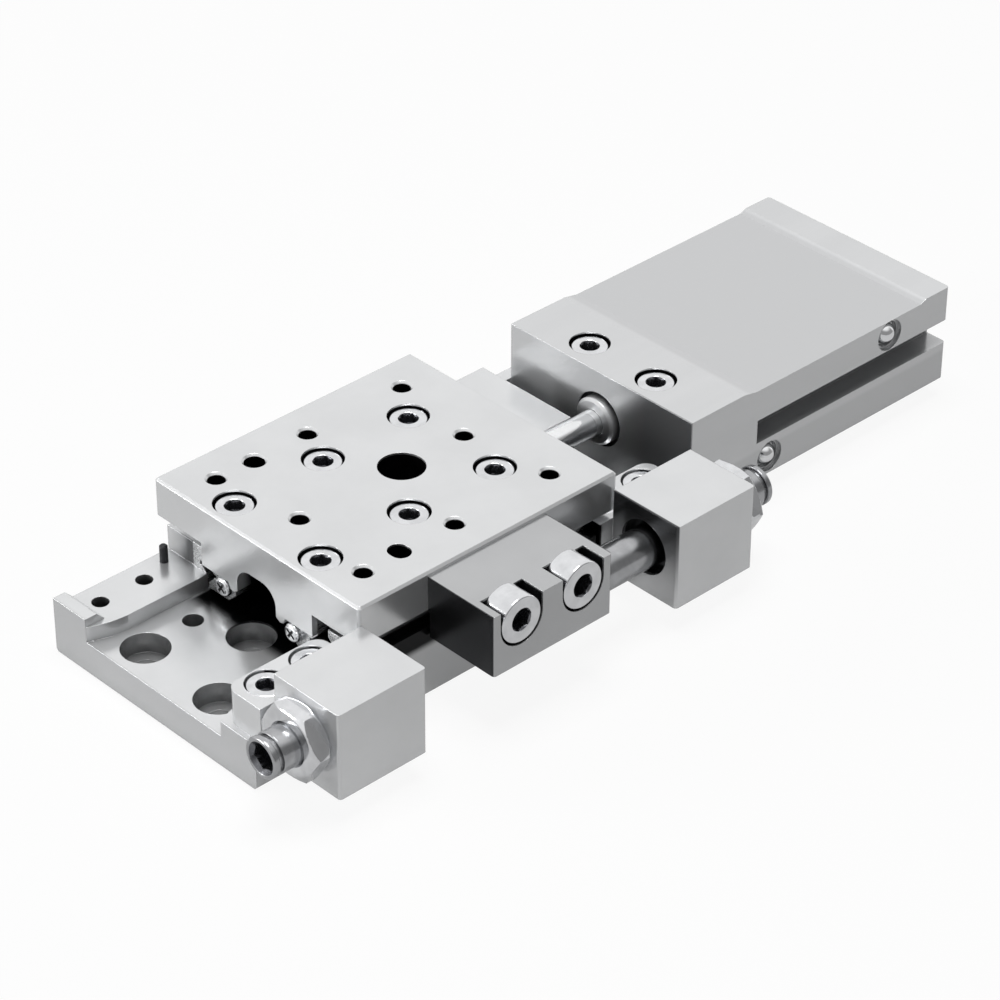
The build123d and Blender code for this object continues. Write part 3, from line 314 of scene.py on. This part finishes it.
# %% Rubber and resin finishes
def moulded(name, light, dark, roughness, grain_mm, grain_depth):
    """Moulded rubber or resin: two close shades and a grain of grain_mm."""
    made, tree = new_material(name)
    where = add(tree, "ShaderNodeTexCoord").outputs["Object"]
    grain = add(tree, "ShaderNodeTexNoise",
                {"Vector": where, "Scale": 1 / (grain_mm * MM), "Detail": 4.0, "Roughness": 0.6})
    shade = add(tree, "ShaderNodeMix", {"Factor": grain.outputs["Fac"], "A": linear(dark),
                                        "B": linear(light)}, data_type="RGBA")
    bump = add(tree, "ShaderNodeBump", {"Strength": 1.0, "Distance": grain_depth * MM,
                                        "Height": grain.outputs["Fac"]})
    shader = add(tree, "ShaderNodeBsdfPrincipled",
                 {"Base Color": shade.outputs["Result"], "Roughness": roughness, "IOR": 1.5,
                  "Normal": bump.outputs["Normal"]})
    add(tree, "ShaderNodeOutputMaterial", {"Surface": shader.outputs["BSDF"]})
    return made


rubber = moulded("black_nitrile_rubber", "#242426", "#18181a", 0.55, 0.25, 0.01)
urethane = moulded("pale_urethane", "#e6e1d2", "#d8d2c1", 0.4, 0.3, 0.01)
wear_resin = moulded("filled_wear_resin", "#6b5437", "#54412a", 0.5, 0.2, 0.008)

FINISH = {"anodised_aluminium": blasted, "stopper_steel": plated_block, "ground_steel": ground,
          "bright_screws": bright, "roller_steel": chromed, "cage_brass": brass,
          "cover_aluminium": turned_alloy, "spring_steel": blackened, "black_rubber": rubber,
          "white_urethane": urethane, "wear_resin": wear_resin, "magnet": magnet}
SPECIAL = {"cylinder_body": extruded, "base_rail": channel, "table": underside,
           "front_bracket": flanged, "rear_bracket": flanged}
slot_of = {part["node"]: part["material_slot"] for part in frame["record"]["subparts"]}
for name, node in frame["nodes"].items():
    node.data.materials.clear()
    node.data.materials.append(SPECIAL.get(name, FINISH[slot_of[name]]))
print("finishes:", len(FINISH) + 1)

# %% [markdown]
# Turned and hexagonal pieces are remade as surfaces on a grid. One direction goes round the
# axis, the other follows the profile from one end to the other. Each ring of the profile has a
# place along the axis, a radius, and a share of hexagon: 0 is a circle, 1 a hexagon whose flats
# lie at that radius. A fourth number may cap the radius, as the cone does that a lathe turns on
# the corners of a nut. A socket screw is then one closed surface, from its point to its socket.

# %% A surface from rings
AROUND = 96


def ring_surface(name, rings, centre, axis, material, body, stands_for, turn=0.0, inner=0):
    """Grid of rings x angles. A point is centre + along * axis + radius(angle) * spoke, where
    radius(angle) blends a circle with the hexagon apothem / cos(angle to the nearest flat),
    and is never more than the ring's cap. The last `inner` bands line a socket."""
    table = np.array([(*ring, 1.0)[:4] for ring in rings], float).T[:, :, None]
    along, radius, share, cap = table
    angle = np.linspace(0, 2 * np.pi, AROUND, endpoint=False)[None, :]
    to_flat = (angle + np.pi / 6) % (np.pi / 3) - np.pi / 6
    reach = np.minimum(radius * (1 - share + share / np.cos(to_flat)), cap)
    main = np.array(axis, float)
    side = np.array([0, 0, 1.0]) if abs(main[2]) < 0.5 else np.array([1.0, 0, 0])
    other = np.cross(main, side)
    spoke_angle = angle + turn
    points = (np.array(centre) + along[..., None] * main
              + (reach * np.cos(spoke_angle))[..., None] * side
              + (reach * np.sin(spoke_angle))[..., None] * other)
    return grid_piece(name, points, material, body, stands_for, inner)


def grid_piece(name, points, material, body, stands_for, inner=0):
    """Mesh from a rows x columns grid that closes on itself along the columns. Where a piece has
    a socket, its last `inner` bands take the dark socket steel, painted shade."""
    rows, columns = points.shape[:2]
    index = np.arange(rows * columns).reshape(rows, columns)
    beside = np.roll(index, -1, axis=1)
    quads = np.stack([index[:-1], beside[:-1], beside[1:], index[1:]], axis=-1).reshape(-1, 4)
    mesh = bpy.data.meshes.new(name)
    mesh.from_pydata(points.reshape(-1, 3).tolist(), [], quads.tolist())
    mesh.materials.append(material)
    if inner:
        mesh.materials.append(socket_shade_steel)
        band = np.repeat(np.arange(rows - 1), columns)
        mesh.polygons.foreach_set("material_index", (band >= rows - 1 - inner).astype(np.int32))
    work = bmesh.new()
    work.from_mesh(mesh)
    bmesh.ops.remove_doubles(work, verts=work.verts, dist=1e-7)
    bmesh.ops.recalc_face_normals(work, faces=work.faces)
    work.to_mesh(mesh)
    work.free()
    mesh.shade_smooth()
    mesh.set_sharp_from_angle(angle=np.radians(38))
    piece = bpy.data.objects.new(name, mesh)
    bpy.context.scene.collection.objects.link(piece)
    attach(piece, body)
    for node in stands_for:
        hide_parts(node)
    return piece


# %% [markdown]
# The places come from the CAD: a node may hold several equal screws, so its mesh is cut into
# its separate solids, and the box of each one says where that screw is and how large.

# %% Separate solids of a node
def solids(node):
    """Boxes (low, high) of the separate closed solids in a CAD node, sorted by place."""
    work = bmesh.new()
    work.from_mesh(frame["nodes"][node].data)
    bmesh.ops.remove_doubles(work, verts=work.verts, dist=1e-6)
    work.verts.ensure_lookup_table()
    left = set(range(len(work.verts)))
    boxes = []
    while left:
        front = [left.pop()]
        found = []
        while front:
            at = front.pop()
            found.append(at)
            for edge in work.verts[at].link_edges:
                far = edge.other_vert(work.verts[at]).index
                if far in left:
                    left.discard(far)
                    front.append(far)
        corners = np.array([work.verts[i].co for i in found])
        boxes.append((corners.min(0), corners.max(0)))
    work.free()
    return sorted(boxes, key=lambda pair: tuple(np.round(pair[0], 5)))


# %% [markdown]
# A socket head cap screw follows one standard drawing: the head is as high as the thread is
# wide, and the hexagon and the head's width go with the thread. The head's rim is rounded, the
# socket has a cone at its mouth, and its floor is the cone of the drill that started it.

# %% Socket head screws
SOCKET = {2.75: 2.5, 3.5: 3.0}
THREAD = {2.75: 3.0, 3.5: 4.0}


def cap_screw(name, low, high, axis, body, stands_for, turn):
    """Rings from the screw's point to the floor of its socket, in the box low..high."""
    main = int(np.argmax(np.abs(axis)))
    across = [i for i in range(3) if i != main]
    head_r = round(float(high[across[0]] - low[across[0]]) / 2 / MM, 2)
    size, flats = THREAD[head_r], SOCKET[head_r]
    length = (high[main] - low[main]) / MM
    centre = (low + high) / 2
    centre[main] = high[main] if axis[main] > 0 else low[main]
    thread_r, rim, deep = size / 2 - 0.03, 0.28, size * 0.55
    bend = np.linspace(0, np.pi / 2, 6)
    rings = [(-length, 0, 0), (-length, thread_r - 0.3, 0), (-length + 0.3, thread_r, 0),
             (-size, thread_r, 0), (-size, head_r - 0.12, 0), (-size + 0.12, head_r, 0)]
    rings += [(-rim + rim * np.sin(b), head_r - rim + rim * np.cos(b), 0) for b in bend]
    rings += [(0, flats / 2 * 1.19, 0), (-0.06, flats / 2 * 1.15, 0), (-0.28, flats / 2, 1),
              (-deep, flats / 2, 1), (-deep, flats / 2 * 0.96, 0), (-deep - flats * 0.22, 0, 0)]
    rings = [(z * MM, r * MM, h) for z, r, h in rings]
    return ring_surface(name, rings, centre, axis, bright, body, stands_for, turn,
                        inner=4)


BODY_OF = {"table_screws": "table", "stopper_screws": "table", "bracket_screws": "base",
           "body_screws": "base"}
TURNS = np.radians([12, 47, 25, 3, 38, 55])
for node, body in BODY_OF.items():
    axis = (0, -1, 0) if node == "stopper_screws" else (0, 0, 1)
    for number, (low, high) in enumerate(solids(node)):
        cap_screw(f"{node}_{number + 1}", low, high, axis, body, [node], TURNS[number])
print("cap screws:", sum(len(solids(node)) for node in BODY_OF))

# %% [markdown]
# Each adjuster is a long bolt with a socket in its outer end. The bolt travels with its own
# body, and the lock nut stays on the bracket, so it rides the base. A narrow groove is turned
# behind the rim. Its socket has a wide cone, so the end face is little more than a bright rim. The
# lock nut is a hexagon, cut to a 30 degree cone outside and a steeper one at the block. Each cone
# meets the flats in arcs, and a ring may reach no further out than its cone.

# %% Adjuster bolts and lock nuts
def scaled(rings):
    """Millimetres to metres, but the share of hexagon stays as it is."""
    return [tuple(v if i == 2 else v * MM for i, v in enumerate(ring)) for ring in rings]


BOLT_R, NUT_FLAT, NUT_FACE = 3.0, 5.0, 4.75
for side, out in (("front", -1), ("rear", 1)):
    low, high = solids(f"adjuster_bolt_{side}")[0]
    length = (high[0] - low[0]) / MM
    centre = (low + high) / 2
    centre[0] = low[0] if out < 0 else high[0]
    bend = np.linspace(0, np.pi / 2, 6)
    rings = [(-length, 0, 0), (-length, BOLT_R - 0.5, 0), (-length + 0.5, BOLT_R, 0),
             (-1.75, BOLT_R, 0), (-1.6, BOLT_R - 0.12, 0), (-1.55, BOLT_R - 0.45, 0),
             (-0.95, BOLT_R - 0.45, 0), (-0.9, BOLT_R - 0.1, 0), (-0.8, BOLT_R, 0)]
    rings += [(-0.3 + 0.3 * np.sin(b), BOLT_R - 0.3 + 0.3 * np.cos(b), 0) for b in bend]
    rings += [(0, 2.45, 0), (-0.07, 2.38, 0), (-0.5, 1.85, 0.6), (-0.6, 1.75, 1), (-3.0, 1.75, 1),
              (-3.0, 1.65, 0), (-3.6, 0, 0)]
    ring_surface(f"adjuster_bolt_{side}_fine", scaled(rings), centre, (out, 0, 0), shaded_bolt_steel,
                 f"{side}_adjuster", [f"adjuster_bolt_{side}"],
                 np.radians(20), inner=5)

    low, high = solids(f"lock_nut_{side}")[0]
    thick = (high[0] - low[0]) / MM
    centre = (low + high) / 2
    centre[0] = low[0] if out < 0 else high[0]
    reach = np.linspace(NUT_FACE, NUT_FLAT / np.cos(np.pi / 6), 7)
    cone = (reach - NUT_FACE) * np.tan(np.radians(30))
    hole = [(0, BOLT_R + 0.3, 0), (-0.27, BOLT_R + 0.04, 0)]
    rings = hole[::-1] + [(-c, NUT_FLAT, 1, r) for c, r in zip(cone, reach)]
    rings += [(1.7 * c - thick, NUT_FLAT, 1, r) for c, r in zip(cone[::-1], reach[::-1])]
    rings += [(-thick, BOLT_R + 0.3, 0), (0.27 - thick, BOLT_R + 0.04, 0), hole[1]]
    ring_surface(f"lock_nut_{side}_fine", scaled(rings), centre, (out, 0, 0), bright, "base",
                 [f"lock_nut_{side}"], 0.0)
print("adjusters remade: 2")

# %% [markdown]
# The plugs of the two air ports are balls of bright steel in a ring, pressed in flush. The ring
# lies deep and dark round the ball. The ball's dome falls as H (r / R)^2.4, a little flatter in
# the middle than a sphere.

# %% Port plugs
BALL_R, RING_DEPTH, DOME_H = 1.6, 2.0, 1.2
for number, (low, high) in enumerate(solids("port_plugs")):
    centre = (low + high) / 2
    centre[1] = low[1]
    radius, length = (high[0] - low[0]) / 2 / MM, (high[1] - low[1]) / MM
    dome = np.linspace(1, 0, 14)
    rings = [(-length, 0, 0), (-length, radius, 0), (0.1 - RING_DEPTH, radius, 0),
             (-RING_DEPTH, radius - 0.1, 0), (-RING_DEPTH, BALL_R + 0.02, 0)]
    rings += [(-0.1 - DOME_H * r ** 2.4, BALL_R * r, 0) for r in dome]
    ring_surface(f"port_plug_{number + 1}", scaled(rings), centre, (0, -1, 0), chromed, "base",
                 ["port_plugs"])
print("port plugs:", number + 1)

# %% [markdown]
# The floor is pale. To the camera it glows white, and the small matt share that is left keeps a
# soft shadow round the slide. The metal mirrors a floor that glows less and is mostly lit by the
# lamps, so a face near the ground shows the slide's own shadow. The world is white to the camera
# and in the metal, but the metal also finds the dark room on the near side. It gives a weak even
# light from all round. Two lamps make the difference between the faces. One stands low and far
# off to the left, so it lights the front ends but not the near sides, and its shadows fall
# between the blocks. The other hangs overhead.

# %% Floor, world and lamps
FILL, KEY, TOP = 0.06, 2.8, 3.8
ROOM = 0.75
floor_mesh = bpy.data.meshes.new("floor")
SIDE = 3.0
floor_mesh.from_pydata([(-SIDE, -SIDE, 0), (SIDE, -SIDE, 0), (SIDE, SIDE, 0), (-SIDE, SIDE, 0)], [],
                       [(0, 1, 2, 3)])
floor = bpy.data.objects.new("floor", floor_mesh)
floor.location.z = -0.0002
bpy.context.scene.collection.objects.link(floor)


def seen_as_white(tree, in_metal=1.0):
    """1 for rays from the camera or through glass, in_metal for reflected rays, else 0."""
    ray = add(tree, "ShaderNodeLightPath")
    mirrored = add(tree, "ShaderNodeMath", {0: ray.outputs["Is Glossy Ray"], 1: in_metal},
                   operation="MULTIPLY")
    either = add(tree, "ShaderNodeMath", {0: ray.outputs["Is Camera Ray"],
                                          1: mirrored.outputs[0]}, operation="MAXIMUM")
    return add(tree, "ShaderNodeMath", {0: either.outputs[0],
                                        1: ray.outputs["Is Transmission Ray"]},
               operation="MAXIMUM").outputs[0]


paper, tree = new_material("white_paper_floor")
matt = add(tree, "ShaderNodeBsdfDiffuse", {"Color": linear("#d8d8d8")})
glow = add(tree, "ShaderNodeEmission", {"Color": (1, 1, 1, 1), "Strength": 1.06})
share = add(tree, "ShaderNodeMath", {0: seen_as_white(tree, 0.31), 1: 0.86}, operation="MULTIPLY")
mixed = add(tree, "ShaderNodeMixShader", {0: share.outputs[0], 1: matt.outputs[0],
                                          2: glow.outputs[0]})
add(tree, "ShaderNodeOutputMaterial", {"Surface": mixed.outputs[0]})
floor_mesh.materials.append(paper)

world = bpy.data.worlds.new("studio")
bpy.context.scene.world = world
world.use_nodes = True
tree = world.node_tree
tree.nodes.clear()
toward = add(tree, "ShaderNodeSeparateXYZ",
             {"Vector": add(tree, "ShaderNodeTexCoord").outputs["Generated"]})
near_side = add(tree, "ShaderNodeMapRange", {"Value": toward.outputs["Y"], "From Min": -0.15,
                                             "From Max": -0.55, "To Min": 0.0, "To Max": 1.0},
                interpolation_type="SMOOTHSTEP")
low_down = add(tree, "ShaderNodeMapRange", {"Value": toward.outputs["Z"], "From Min": 0.85,
                                            "From Max": 0.5, "To Min": 0.0, "To Max": ROOM},
               interpolation_type="SMOOTHSTEP")
room = add(tree, "ShaderNodeMath", {0: near_side.outputs["Result"],
                                    1: low_down.outputs["Result"]}, operation="MULTIPLY")
in_metal = add(tree, "ShaderNodeMath", {0: 1.0, 1: room.outputs[0]}, operation="SUBTRACT")
strength = add(tree, "ShaderNodeMapRange", {"Value": seen_as_white(tree, in_metal.outputs[0]),
                                            "To Min": FILL, "To Max": 1.0})
sky = add(tree, "ShaderNodeBackground", {"Color": (1, 1, 1, 1),
                                         "Strength": strength.outputs["Result"]})
add(tree, "ShaderNodeOutputWorld", {"Surface": sky.outputs[0]})


def lamp(name, place, aim, size, power):
    """A square area lamp at place that shines at aim."""
    data = bpy.data.lights.new(name, "AREA")
    data.size = size
    data.energy = power
    made = bpy.data.objects.new(name, data)
    made.location = place
    made.rotation_euler = (Vector(aim) - Vector(place)).to_track_quat("-Z", "Y").to_euler()
    bpy.context.scene.collection.objects.link(made)
    return made


middle = (LOOK_AT[0], 0, 0.01)
lamp("low_left", (-0.62, 0.44, 0.20), middle, 0.34, KEY)
lamp("overhead", (0.05, 0.0, 0.80), middle, 0.4, TOP)
